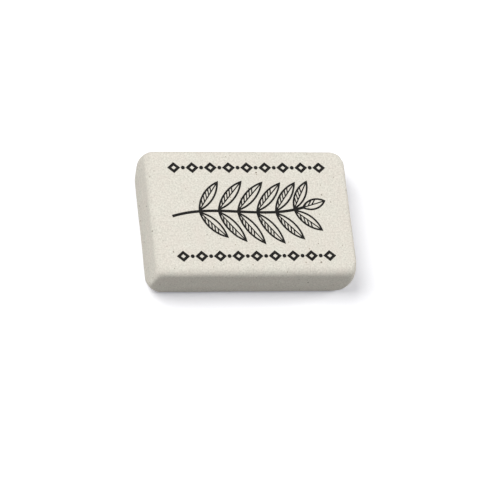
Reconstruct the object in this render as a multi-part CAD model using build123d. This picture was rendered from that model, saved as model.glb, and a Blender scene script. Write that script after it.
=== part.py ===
from build123d import *
from itertools import product
import math
import os

# A pencil eraser: one moulded rubber block with a printed face.
# Millimetres. X runs along the block, Y across it, Z up from the base.
# The origin is the middle of the base.

# Block
block_length = 35.5
block_width = 23.1
block_thickness = 8.6
edge_radius = 1.2           # every edge of the block
worn_tip = 2.7              # along each edge, how far wear has taken a corner away

# Printed ink
ink_thickness = 0.04
print_end_margin = 2.6      # bare rubber at each end of the flat face
print_side_margin = 1.3     # bare rubber along each side of the flat face
bold_line = 0.48            # lozenges and the stem
leaf_line = 0.32            # leaf outlines
vein_line = 0.21            # midribs and veins

# Border rows: open lozenges with dots between them
border_height = 2.0
lozenge_length = 2.3
border_pitch = 3.2          # from one lozenge to the next
dot_diameter = 0.68
border_gap = 0.5            # bare rubber between a row and the sprig

# Sprig of leaves between the rows
stem_rise = 0.8             # stem's tip above the middle line, and its foot below
stem_bend = 1.6             # reach of the curve's handles across the middle line
bare_tip = 2.0              # stem between the last pair of leaves and the tip leaf
leaf_angle = 50             # degrees between a leaf and the stem
leaf_pitch = 3.35           # along the stem, from one pair to the next
leaf_width = 2.05
tip_leaf_length = 4.6
end_leaf_share = 0.74       # length of the end pairs against the middle ones
vein_pitch = 0.74
vein_angle = 40             # degrees between a vein and the midrib


def make_block():
    """Box whose eight corners are worn off slantwise, with every edge rolled, those of the wear too."""
    block = Box(block_length, block_width, block_thickness, align=(Align.CENTER, Align.CENTER, Align.MIN))
    wear_depth = worn_tip / math.sqrt(3)  # from a sharp corner down to the slant face that wear leaves
    for x, y, z in product((-1, 1), repeat=3):
        corner = Vector(x * block_length / 2, y * block_width / 2, (1 + z) * block_thickness / 2)
        outward = Vector(x, y, z).normalized()
        slant = Plane(corner - outward * wear_depth, z_dir=outward)
        block = split(block, bisect_by=slant, keep=Keep.BOTTOM)
    return fillet(block.edges(), edge_radius)


def lozenge(length, height):
    """Lozenge centred on the origin."""
    return Polygon((-length / 2, 0), (0, -height / 2), (length / 2, 0), (0, height / 2))


def border_row(length):
    """Row of open lozenges, a dot between each two, centred on the origin."""
    count = max(2, round((length - lozenge_length) / border_pitch) + 1)
    pitch = (length - lozenge_length) / (count - 1)
    first = (lozenge_length - length) / 2
    # a line of even width moves a lozenge's point in by the line over the sine of its half angle
    slope = math.atan2(border_height, lozenge_length)
    opening = lozenge(
        lozenge_length - 2 * bold_line / math.sin(slope),
        border_height - 2 * bold_line / math.cos(slope),
    )
    motif = lozenge(lozenge_length, border_height) - opening
    dot = Circle(dot_diameter / 2)
    lozenges = [Pos(first + index * pitch, 0) * motif for index in range(count)]
    dots = [Pos(first + (index + 0.5) * pitch, 0) * dot for index in range(count - 1)]
    return lozenges + dots


def pointed_oval(length, width):
    """Two equal arcs that meet in points, from the origin along X."""
    upper = ThreePointArc((0, 0), (length / 2, width / 2), (length, 0))
    lower = ThreePointArc((length, 0), (length / 2, -width / 2), (0, 0))
    return make_face([upper, lower])


def leaf(length, side):
    """Outlined leaf from the origin along X, with a midrib, and veins on one side of it."""
    outline = pointed_oval(length, leaf_width)
    # the opening's arcs keep the outline's centres, so that the line between them is even
    arc_radius = (length**2 + leaf_width**2) / (4 * leaf_width)
    arc_centre = arc_radius - leaf_width / 2
    open_length = 2 * math.sqrt((arc_radius - leaf_line) ** 2 - arc_centre**2)
    open_start = (length - open_length) / 2
    opening = Pos(open_start, 0) * pointed_oval(open_length, leaf_width - 2 * leaf_line)

    midrib = Pos(length / 2, 0) * Rectangle(open_length, vein_line)
    vein_length = leaf_width / math.sin(math.radians(vein_angle))
    vein = Rot(0, 0, side * vein_angle) * Pos(vein_length / 2, 0) * Rectangle(vein_length, vein_line)
    vein_count = int((open_length - leaf_width / 2) / vein_pitch)
    veins = [Pos(open_start + index * vein_pitch, 0) * vein for index in range(vein_count)]
    return (outline - opening) + (Sketch() + [midrib] + veins & outline)


def sprig(length, height):
    """Stem with two gentle bends, leaves along it in pairs and one leaf at its tip."""
    stem_start = -length / 2
    stem_end = length / 2 - tip_leaf_length
    third = (stem_end - stem_start) / 3
    stem = Bezier(
        (stem_start, -stem_rise),
        (stem_start + third, stem_bend),
        (stem_end - third, -stem_bend),
        (stem_end, stem_rise),
    )
    shapes = [trace(stem, bold_line)]
    middle_length = (height / 2 - stem_rise) / math.sin(math.radians(leaf_angle))
    for pair in range(int((stem.length - bare_tip) / leaf_pitch)):
        along = stem.length - bare_tip - pair * leaf_pitch
        base = stem.position_at(along, PositionMode.LENGTH)
        heading = stem.tangent_angle_at(along, PositionMode.LENGTH)
        from_middle = 2 * along / stem.length - 1
        leaf_length = middle_length * (1 - (1 - end_leaf_share) * from_middle**2)
        for side in (1, -1):
            place = Pos(base.X, base.Y) * Rot(0, 0, heading + side * leaf_angle)
            shapes.append(place * leaf(leaf_length, side))
    tip = stem @ 1
    place = Pos(tip.X, tip.Y) * Rot(0, 0, stem.tangent_angle_at(1)) * Pos(-bold_line, 0)
    shapes.append(place * leaf(tip_leaf_length, 1))
    return shapes


def make_print(face):
    """Ink film on the flat face: a border row along each long side and a sprig between them."""
    flat = face.bounding_box()
    length = flat.size.X - 2 * print_end_margin
    width = flat.size.Y - 2 * print_side_margin
    shapes = sprig(length, width - 2 * (border_height + border_gap))
    row_offset = (width - border_height) / 2
    for offset in (row_offset, -row_offset):
        shapes += [Pos(0, offset) * motif for motif in border_row(length)]
    return extrude(Pos(0, 0, flat.max.Z) * (Sketch() + shapes), ink_thickness)


rubber_block = make_block()
ink_print = make_print(rubber_block.faces().sort_by(Axis.Z)[-1])

os.makedirs("parts", exist_ok=True)
for name, part in {"rubber_block": rubber_block, "ink_print": ink_print}.items():
    part.label = name
    export_step(part, f"parts/{name}.step")
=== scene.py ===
# %% [markdown]
# # A printed pencil eraser
#
# The object is a small block of moulded rubber, the kind that lies in every pencil case. It is as plain as
# an object can be, so the looks hang on a few things: corners that are worn rounder than the edges, edges
# that are never quite straight, a sandy skin with specks in it, and a thin black print on top. The measured
# model is loaded first and stays as it is. Everything that follows is built around it, in metres.

# %% Load the measured model
from itertools import product
import math

import bmesh
import bpy
from mathutils import Matrix, Vector


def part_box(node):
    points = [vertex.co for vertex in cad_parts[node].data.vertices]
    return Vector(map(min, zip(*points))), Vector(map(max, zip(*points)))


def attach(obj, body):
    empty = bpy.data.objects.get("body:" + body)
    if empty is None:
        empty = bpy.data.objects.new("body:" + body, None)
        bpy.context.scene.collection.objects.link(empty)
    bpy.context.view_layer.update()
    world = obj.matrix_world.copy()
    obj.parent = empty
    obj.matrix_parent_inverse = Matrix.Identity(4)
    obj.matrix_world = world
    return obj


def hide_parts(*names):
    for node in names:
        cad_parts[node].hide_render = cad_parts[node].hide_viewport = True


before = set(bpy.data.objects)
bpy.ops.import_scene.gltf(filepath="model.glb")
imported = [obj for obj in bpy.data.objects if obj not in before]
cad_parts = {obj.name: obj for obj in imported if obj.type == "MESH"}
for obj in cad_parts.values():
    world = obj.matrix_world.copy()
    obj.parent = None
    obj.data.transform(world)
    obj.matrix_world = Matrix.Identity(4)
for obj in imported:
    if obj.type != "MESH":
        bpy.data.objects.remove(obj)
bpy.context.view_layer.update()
print("nodes of the measured model:", ", ".join(sorted(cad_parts)))

# %% [markdown]
# ## Working in millimetres
#
# The block is 35 mm long, and Blender's edit tools lose their finest steps on a mesh that is only hundredths
# of a unit across. So each piece is modelled with one unit to the millimetre and is brought down to metres
# when it is done. The outer sizes come from the measured model. The radii of the edges can't be read from
# its box, so they are written here.

# %% Sizes of the block
MM = 0.001
block_low, block_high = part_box("rubber_block")
block_length, block_width, block_thickness = (block_high - block_low) / MM
side_bulge = 0.1
end_edge_radius = 0.95
long_top_edge_radii = {-1: 1.6, 1: 1.35}  # near side and far side
long_base_edge_radius = 0.4
base_taper = 0.2  # how much further in the long sides stand at the base
corner_radii = {  # side in X and in Y: at the base, half way up, at the top
    (-1, -1): (1.9, 0.4, 1.2),
    (1, -1): (1.5, 1.0, 1.6),
    (1, 1): (2.2, 1.1, 1.85),
    (-1, 1): (1.9, 0.8, 1.45),
}
print(f"block {block_length:.1f} x {block_width:.1f} x {block_thickness:.1f} mm")

# %% [markdown]
# ## Picking by place
#
# By hand one would click on a piece, open its mesh and click on the faces to be shaped. In code, small
# functions do the clicking. One picks whatever faces a test says yes to, such as those that look up. The last
# one adds a modifier and applies it at once, so that each step works on what the step before has left.


# %% Helpers that select and shape
def select_only(piece):
    bpy.ops.object.select_all(action="DESELECT")
    piece.select_set(True)
    bpy.context.view_layer.objects.active = piece


def open_mesh(piece):
    """Starts editing a piece, with all of its mesh selected."""
    select_only(piece)
    bpy.ops.object.mode_set(mode="EDIT")
    bpy.ops.mesh.select_all(action="SELECT")


def close_mesh():
    bpy.ops.object.mode_set(mode="OBJECT")


def pick_faces(piece, wanted):
    """Selects the faces of an open mesh that wanted says yes to, and nothing else."""
    bpy.ops.mesh.select_all(action="DESELECT")
    bpy.ops.mesh.select_mode(type="FACE")
    mesh = bmesh.from_edit_mesh(piece.data)
    for face in mesh.faces:
        if wanted(face):
            face.select_set(True)
    bmesh.update_edit_mesh(piece.data)


def apply_modifier(piece, kind, **settings):
    """Adds one modifier to the piece, sets it and applies it."""
    bpy.context.view_layer.objects.active = piece
    modifier = piece.modifiers.new(kind.title(), kind)
    for name, value in settings.items():
        setattr(modifier, name, value)
    bpy.ops.object.modifier_apply(modifier=modifier.name)


# %% [markdown]
# ## Balls and rods
#
# Tumbling wears the corners of a block most, its edges less and its walls hardly at all. A bevel gives one
# radius all over and misses that. So the form is set up from what it rolls over. A rod lies along each level
# edge. It is thick along the top of the long sides, thinner at the cut ends and thinnest at the foot of the
# long sides, which stand in a little there. Up each corner goes a string of balls, small half way up, where
# the edge stays crisp, and larger towards both ends, where it is worn. The small balls also stand a little
# further out, and that gives the walls their faint swell. No two corners wear alike, so each has its own
# radii.

# %% Set up the balls
BALLS_UP_A_CORNER = 9
BALL_SEGMENTS, BALL_RINGS = 64, 32

half_length = block_length / 2
half_width = block_width / 2
forms = []
for (side_x, side_y), (base_ball, middle_ball, top_ball) in corner_radii.items():
    rise = block_thickness - top_ball - base_ball
    for step in range(BALLS_UP_A_CORNER):
        height_share = step / (BALLS_UP_A_CORNER - 1)
        from_middle = 2 * height_share - 1
        end_ball = top_ball if from_middle > 0 else base_ball
        radius = middle_ball + (end_ball - middle_ball) * from_middle**2
        inset = radius + side_bulge * from_middle**2
        height = base_ball + rise * height_share
        centre = (side_x * (half_length - inset), side_y * (half_width - inset), height)
        bpy.ops.mesh.primitive_uv_sphere_add(segments=BALL_SEGMENTS, ring_count=BALL_RINGS, radius=radius,
                                             location=centre)
        forms.append(bpy.context.object)
print("balls set up:", len(forms))

# %% Set up the rods
ROD_SEGMENTS = 64

largest_ball = max(max(radii) for radii in corner_radii.values())
long_rod = 2 * (half_length - side_bulge - largest_ball)
end_rod = 2 * (half_width - side_bulge - largest_ball)
along_x = (0, math.pi / 2, 0)
along_y = (math.pi / 2, 0, 0)


def add_rod(radius, length, centre, turn):
    bpy.ops.mesh.primitive_cylinder_add(vertices=ROD_SEGMENTS, radius=radius, depth=length, location=centre,
                                        rotation=turn)
    forms.append(bpy.context.object)


for side, at_top in product((-1, 1), (False, True)):
    long_edge = long_top_edge_radii[side] if at_top else long_base_edge_radius
    taper = 0 if at_top else base_taper
    long_reach = side * (half_width - side_bulge - taper - long_edge)
    long_level = block_thickness - long_edge if at_top else long_edge
    add_rod(long_edge, long_rod, (0, long_reach, long_level), along_x)
    end_reach = side * (half_length - side_bulge - end_edge_radius)
    end_level = block_thickness - end_edge_radius if at_top else end_edge_radius
    add_rod(end_edge_radius, end_rod, (end_reach, 0, end_level), along_y)
print("forms set up:", len(forms))

# %% [markdown]
# ## Stretching the skin
#
# A convex hull is a skin stretched tight over all the forms at once. It is flat between the rods, rolls over
# each of them at its own radius and runs smoothly from a thin rod into a thick ball, as the wear on rubber
# does.

# %% Stretch the skin
bpy.ops.object.select_all(action="DESELECT")
for form in forms:
    form.select_set(True)
bpy.context.view_layer.objects.active = forms[0]
bpy.ops.object.join()
bpy.ops.object.transform_apply()
eraser = bpy.context.object
eraser.name = "rubber_body"
open_mesh(eraser)
bpy.ops.mesh.convex_hull()
close_mesh()
heights = [vertex.co.z for vertex in eraser.data.vertices]
print(f"skin from {min(heights):.3f} to {max(heights):.3f} mm, {len(eraser.data.polygons)} faces")

# %% [markdown]
# ## An even skin
#
# So far the flat faces are a few large polygons, and nothing can be pressed into them. A voxel remesh lays
# one even net of small squares over the whole block. Subdividing would do too, but it would crowd the corners
# with slivers. The net is finer than a grain of the surface is wide, and a light smoothing takes its steps
# away.

# %% Remesh the block
skin_step = 0.19
smoothing_rounds = 6

apply_modifier(eraser, "REMESH", mode="VOXEL", voxel_size=skin_step)
apply_modifier(eraser, "SMOOTH", factor=0.5, iterations=smoothing_rounds)
print(f"even skin of {len(eraser.data.polygons)} squares")

# %% [markdown]
# ## What moulding leaves
#
# Cured rubber shrinks a little unevenly, and the blocks are tumbled after they are cut from their mould. That
# leaves faces that are slightly wavy, edges that wander by a few hundredths of a millimetre and a skin like
# fine sand. Three cloud textures push the skin in and out, from the broadest to the finest. Sizes and depths
# are in millimetres.

# %% Press the unevenness in
unevenness = {  # size and depth of the waves
    "shrinkage": (9.0, 0.10),
    "tumbling": (2.2, 0.05),
    "sandy_skin": (0.55, 0.022),
}

for name, (size, depth) in unevenness.items():
    waves = bpy.data.textures.new(name, type="CLOUDS")
    waves.noise_scale = size
    waves.noise_depth = 1
    apply_modifier(eraser, "DISPLACE", texture=waves, strength=depth, mid_level=0.5)
lowest = min(vertex.co.z for vertex in eraser.data.vertices)
open_mesh(eraser)
bpy.ops.transform.translate(value=(0, 0, -lowest))
close_mesh()
print(f"lowest point was at {lowest:.3f} mm, now on the table")

# %% [markdown]
# ## The print
#
# The print is a film of black ink, a few hundredths of a millimetre thick. Its outline is in the measured
# model, so a copy of that is taken, and only the upper skin of the copy is kept. The skin is cut into small
# fields, lifted clear of the block and let down on the wavy rubber with a shrinkwrap. It has to start above:
# a shrinkwrap leaves its offset on the side that a point came from, and a film that starts in a wave ends up
# under the skin. Then it gets its thickness again, part of it sunk into the rubber, so that no gap shows. A
# texture on the block would do for one picture, but a film is an object that can be kept.

# %% Lay the ink on the rubber
field = 0.3
film_thickness = 0.045
film_proud = 0.02
film_start = 1.0
weld_distance = 0.001
looks_up = 0.9  # least height of the normal of a face on the upper skin

ink = bpy.data.objects.new("ink_film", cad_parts["ink_print"].data.copy())
bpy.context.scene.collection.objects.link(ink)
ink_low, ink_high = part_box("ink_print")
open_mesh(ink)
bpy.ops.transform.resize(value=(1 / MM, 1 / MM, 1 / MM), center_override=(0, 0, 0))
bpy.ops.mesh.remove_doubles(threshold=weld_distance)
pick_faces(ink, lambda face: face.normal.z < looks_up)
bpy.ops.mesh.delete(type="FACE")
for axis in (0, 1):
    normal = Vector((0, 0, 0))
    normal[axis] = 1
    cuts = int((ink_high[axis] - ink_low[axis]) / MM / field)
    for cut in range(cuts):
        bpy.ops.mesh.select_all(action="SELECT")
        cut_place = normal * (ink_low[axis] / MM + (cut + 0.5) * field)
        bpy.ops.mesh.bisect(plane_co=cut_place, plane_no=normal)
bpy.ops.mesh.select_all(action="SELECT")
bpy.ops.mesh.quads_convert_to_tris()
bpy.ops.transform.translate(value=(0, 0, film_start))
close_mesh()
apply_modifier(ink, "SHRINKWRAP", target=eraser, wrap_method="PROJECT", use_project_z=True,
               use_negative_direction=True, use_positive_direction=False, offset=film_proud)
apply_modifier(ink, "SOLIDIFY", thickness=film_thickness, offset=-1)
film_heights = [vertex.co.z for vertex in ink.data.vertices]
print(f"ink film of {len(ink.data.polygons)} faces,",
      f"{min(film_heights):.3f} to {max(film_heights):.3f} mm up")

# %% [markdown]
# ## Down to metres
#
# Both pieces are shrunk about the middle of the base, inside their meshes, so that their objects stay at the
# origin without any scale of their own.

# %% Bring the pieces to their real size
for piece in (eraser, ink):
    select_only(piece)
    bpy.ops.object.transform_apply(location=True, rotation=True, scale=True)
    open_mesh(piece)
    bpy.ops.transform.resize(value=(MM, MM, MM), center_override=(0, 0, 0))
    close_mesh()
    bpy.ops.object.shade_smooth()
    print(piece.name, [round(size / MM, 2) for size in piece.dimensions], "mm")

# %% [markdown]
# ## Finishes
#
# A finish is a small tree of nodes. One function adds a node: its own settings are given by name, and each
# input gets a value or another node's output. Colours are written as they look on a screen, in hex, and one
# function turns them into the linear values that light is reckoned in. Both finishes share the sand of the
# rubber, because the ink lies in it, so the last two functions lay the sand and close a finish with its
# relief.

# %% Helpers for finishes
MIX_FIRST, MIX_SECOND, MIX_COLOUR = 6, 7, 2
GRAIN_SIZE = 0.28
GRAIN_RELIEF = 0.025
REFRACTIVE_INDEX = 1.5


def linear(hex_colour):
    """Linear red, green, blue and alpha of an sRGB hex colour."""
    channels = [int(hex_colour[start:start + 2], 16) / 255 for start in (1, 3, 5)]
    return [((c + 0.055) / 1.055) ** 2.4 if c > 0.04045 else c / 12.92 for c in channels] + [1]


def add_node(tree, kind, inputs=None, **settings):
    """Adds a node with its settings, and gives each input a value or a link."""
    node = tree.nodes.new(kind)
    for name, value in settings.items():
        setattr(node, name, value)
    for socket, value in (inputs or {}).items():
        if isinstance(value, bpy.types.NodeSocket):
            tree.links.new(value, node.inputs[socket])
        else:
            node.inputs[socket].default_value = value
    return node


def new_finish(name):
    """An empty material and its node tree."""
    finish = bpy.data.materials.new(name)
    finish.use_nodes = True
    finish.node_tree.nodes.clear()
    return finish, finish.node_tree


def per_metre(size):
    """Texture scale that makes a pattern's cells this many millimetres wide."""
    return 1 / (size * MM)


def mix(tree, share, first, second):
    """A colour that goes from the first to the second as the share goes from 0 to 1."""
    blend = add_node(tree, "ShaderNodeMix", {"Factor": share, MIX_FIRST: first, MIX_SECOND: second},
                     data_type="RGBA")
    return blend.outputs[MIX_COLOUR]


def lay_sand(tree):
    """The piece's own coordinates, and the noise of the sand in them."""
    place = add_node(tree, "ShaderNodeTexCoord").outputs["Object"]
    sand = add_node(tree, "ShaderNodeTexNoise", {"Vector": place, "Scale": per_metre(GRAIN_SIZE),
                                                 "Detail": 3.0, "Roughness": 0.6})
    return place, sand.outputs["Fac"]


def coat(piece, finish, colour, sand, relief_strength, surface_inputs):
    """Closes a finish with the sand's relief and a surface, and puts it on the piece."""
    tree = finish.node_tree
    relief = add_node(tree, "ShaderNodeBump", {"Height": sand, "Strength": relief_strength,
                                               "Distance": GRAIN_RELIEF * MM})
    surface = add_node(tree, "ShaderNodeBsdfPrincipled", {"Base Color": colour, "IOR": REFRACTIVE_INDEX,
                                                          "Normal": relief.outputs["Normal"],
                                                          **surface_inputs})
    add_node(tree, "ShaderNodeOutputMaterial", {"Surface": surface.outputs["BSDF"]})
    piece.data.materials.clear()
    piece.data.materials.append(finish)
    print(finish.name, "has", len(tree.nodes), "nodes")


# %% [markdown]
# ## Vulcanised rubber
#
# The rubber is natural latex filled with chalk and fine pumice and cured in its mould. To the eye it is warm
# off-white, dull all over and sandy, with brown and grey specks of filler. The sand is one noise, for colour
# and relief. Two broader ones lay a buff and a rosy cloud over it, because the mix is never stirred quite
# even. The specks are cells whose middle alone is coloured, each cell with its own size of speck, down to
# none. The commonest specks are the smallest and palest.

# %% Rubber
dark_sand, pale_sand = "#d2cfc3", "#f6f3e7"
clouds = {  # tint: size in millimetres and thickest cover
    "#d3cdc0": (5.0, 0.10),
    "#eadad0": (1.9, 0.22),
}
specks = {  # tint: size of a cell in millimetres, and the largest speck's radius as a share of it
    "#a1947f": (0.85, 0.17),
    "#6f604c": (1.6, 0.115),
    "#453a2f": (3.3, 0.06),
}
empty_cells = 0.36
speck_cover = 0.85

rubber, tree = new_finish("vulcanised_rubber")
place, sand = lay_sand(tree)
sand_spread = add_node(tree, "ShaderNodeMapRange", {"Value": sand, "From Min": 0.3, "From Max": 0.7})
colour = mix(tree, sand_spread.outputs["Result"], linear(dark_sand), linear(pale_sand))
for tint, (size, most) in clouds.items():
    cloud = add_node(tree, "ShaderNodeTexNoise", {"Vector": place, "Scale": per_metre(size), "Detail": 2.0})
    spread = add_node(tree, "ShaderNodeMapRange", {"Value": cloud.outputs["Fac"], "From Min": 0.35,
                                                   "From Max": 0.7, "To Max": most})
    colour = mix(tree, spread.outputs["Result"], colour, linear(tint))
for tint, (cell, largest) in specks.items():
    cells = add_node(tree, "ShaderNodeTexVoronoi", {"Vector": place, "Scale": per_metre(cell)})
    chance = add_node(tree, "ShaderNodeSeparateColor", {"Color": cells.outputs["Color"]})
    reach = add_node(tree, "ShaderNodeMapRange", {"Value": chance.outputs["Red"], "From Min": empty_cells,
                                                  "To Max": largest})
    inside = add_node(tree, "ShaderNodeMath", {0: reach.outputs["Result"], 1: cells.outputs["Distance"]},
                      operation="SUBTRACT")
    speck = add_node(tree, "ShaderNodeMapRange", {"Value": inside.outputs[0], "From Max": largest / 3,
                                                  "To Max": speck_cover})
    colour = mix(tree, speck.outputs["Result"], colour, linear(tint))
coat(eraser, rubber, colour, sand, 1.0, {"Roughness": 0.9})

# %% [markdown]
# ## Printing ink
#
# The ink is a matt black pad printing ink. The rubber drinks most of it in, so the specular level is far
# under that of a glossy film and the black stays deep. It takes the relief of the sand under it, and where a
# grain stands high the film is thin and turns dark brown.

# %% Ink
thick_ink, thin_ink = "#1a1918", "#5b564d"

black_ink, tree = new_finish("black_printing_ink")
place, sand = lay_sand(tree)
thin = add_node(tree, "ShaderNodeMapRange", {"Value": sand, "From Min": 0.55, "From Max": 0.8,
                                             "To Max": 0.4})
colour = mix(tree, thin.outputs["Result"], linear(thick_ink), linear(thin_ink))
coat(ink, black_ink, colour, sand, 0.6, {"Roughness": 0.8, "Specular IOR Level": 0.15})

# %% [markdown]
# ## Table and light
#
# The eraser lies on white card that fills the view. One large soft lamp, the key, stands high to the left and
# behind. A weak one low on the right, the fill, keeps the far edge from going dark, and the rest is even
# light from all round. The card is pale, and for the camera alone it gives off a little bluish light of its
# own, so that it comes out white and only the shadow beside the block stays, with a faint blue in it.

# %% Table
TABLE_SIZE = 3.0
SEEN_CARD = (1, 1, 1, 1)
LIGHTING_CARD = (0.6, 0.6, 0.6, 1)  # as the light that it throws on the block finds it
CARD_GLOW = (0.86, 0.88, 1, 1)
CARD_GLOW_STRENGTH = 0.21

bpy.ops.object.select_all(action="DESELECT")
bpy.ops.mesh.primitive_plane_add(size=TABLE_SIZE, location=(0, 0, 0))
table = bpy.context.object
table.name = "table"
card, tree = new_finish("white_card")
ray = add_node(tree, "ShaderNodeLightPath")
seen = add_node(tree, "ShaderNodeBsdfDiffuse", {"Color": SEEN_CARD})
lift = add_node(tree, "ShaderNodeEmission", {"Color": CARD_GLOW, "Strength": CARD_GLOW_STRENGTH})
shown = add_node(tree, "ShaderNodeAddShader", {0: seen.outputs["BSDF"], 1: lift.outputs["Emission"]})
given = add_node(tree, "ShaderNodeBsdfDiffuse", {"Color": LIGHTING_CARD})
either = add_node(tree, "ShaderNodeMixShader", {0: ray.outputs["Is Camera Ray"], 1: given.outputs["BSDF"],
                                                2: shown.outputs["Shader"]})
add_node(tree, "ShaderNodeOutputMaterial", {"Surface": either.outputs["Shader"]})
table.data.materials.append(card)
print("table", TABLE_SIZE, "m wide")

# %% Lamps
LAMP_DISTANCE = 1.4
lamps = {  # direction, width in metres and power in watts
    "key": (Vector((-0.50, 0.15, 0.85)), 0.80, 15.8),
    "fill": (Vector((0.86, 0.08, 0.50)), 0.60, 8.0),
}

for name, (direction, width, power) in lamps.items():
    lamp_place = direction.normalized() * LAMP_DISTANCE
    bpy.ops.object.light_add(type="AREA", location=lamp_place)
    lamp = bpy.context.object
    lamp.name = name
    lamp.rotation_euler = lamp_place.to_track_quat("Z", "Y").to_euler()
    lamp.data.size = width
    lamp.data.energy = power
    print(name, "lamp at", [round(value, 3) for value in lamp_place])

# %% Sky
SKY_COLOUR = (1, 0.98, 1, 1)
SKY_STRENGTH = 0.15

sky = bpy.data.worlds.new("even_light")
bpy.context.scene.world = sky
sky.use_nodes = True
tree = sky.node_tree
tree.nodes.clear()
ray = add_node(tree, "ShaderNodeLightPath")
direct = add_node(tree, "ShaderNodeMath", {0: ray.outputs["Is Camera Ray"], 1: ray.outputs["Is Glossy Ray"]},
                  operation="MAXIMUM")
clear = add_node(tree, "ShaderNodeMath", {0: direct.outputs[0], 1: ray.outputs["Is Transmission Ray"]},
                 operation="MAXIMUM")
around = add_node(tree, "ShaderNodeBackground", {"Color": SKY_COLOUR, "Strength": SKY_STRENGTH})
white = add_node(tree, "ShaderNodeBackground", {"Color": (1, 1, 1, 1), "Strength": 1.0})
both = add_node(tree, "ShaderNodeMixShader", {0: clear.outputs[0], 1: around.outputs["Background"],
                                              2: white.outputs["Background"]})
add_node(tree, "ShaderNodeOutputWorld", {"Surface": both.outputs["Shader"]})
print("sky:", len(tree.nodes), "nodes")

# %% [markdown]
# ## Camera
#
# The view is that of a long lens held high over the near left corner and rolled, so that the block's long
# sides lie level in the picture. Azimuth, elevation and roll are in degrees. The distance is in millimetres,
# and so is the aim, the point in the middle of the picture.

# %% Camera
AZIMUTH, ELEVATION, ROLL = -37.85, 62.88, 34.46
DISTANCE = 631.7
LENS = 277.5
AIM_RIGHT, AIM_UP = 0.241, -1.539

azimuth, elevation, roll = (math.radians(angle) for angle in (AZIMUTH, ELEVATION, ROLL))
back = Vector((math.sin(azimuth) * math.cos(elevation), -math.cos(azimuth) * math.cos(elevation),
               math.sin(elevation)))
level = Vector((0, 0, 1)).cross(back).normalized()
upright = back.cross(level)
right = math.cos(roll) * level + math.sin(roll) * upright
up = math.cos(roll) * upright - math.sin(roll) * level
aim = AIM_RIGHT * right + AIM_UP * up
pose = Matrix((right, up, back)).transposed().to_4x4()
pose.translation = (aim + DISTANCE * back) * MM
bpy.ops.object.camera_add()
camera = bpy.context.object
camera.matrix_world = pose
camera.data.lens = LENS
bpy.context.scene.camera = camera
bpy.context.scene.view_settings.view_transform = "Standard"
print("camera at", [round(value, 3) for value in camera.location])

# %% [markdown]
# ## Joining up
#
# Each piece rides on the root body, and the measured solid that it stands for is hidden.

# %% Join the pieces to the frame
for piece, slot, node in ((eraser, "rubber", "rubber_block"), (ink, "ink", "ink_print")):
    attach(piece, "root")
    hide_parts(node)
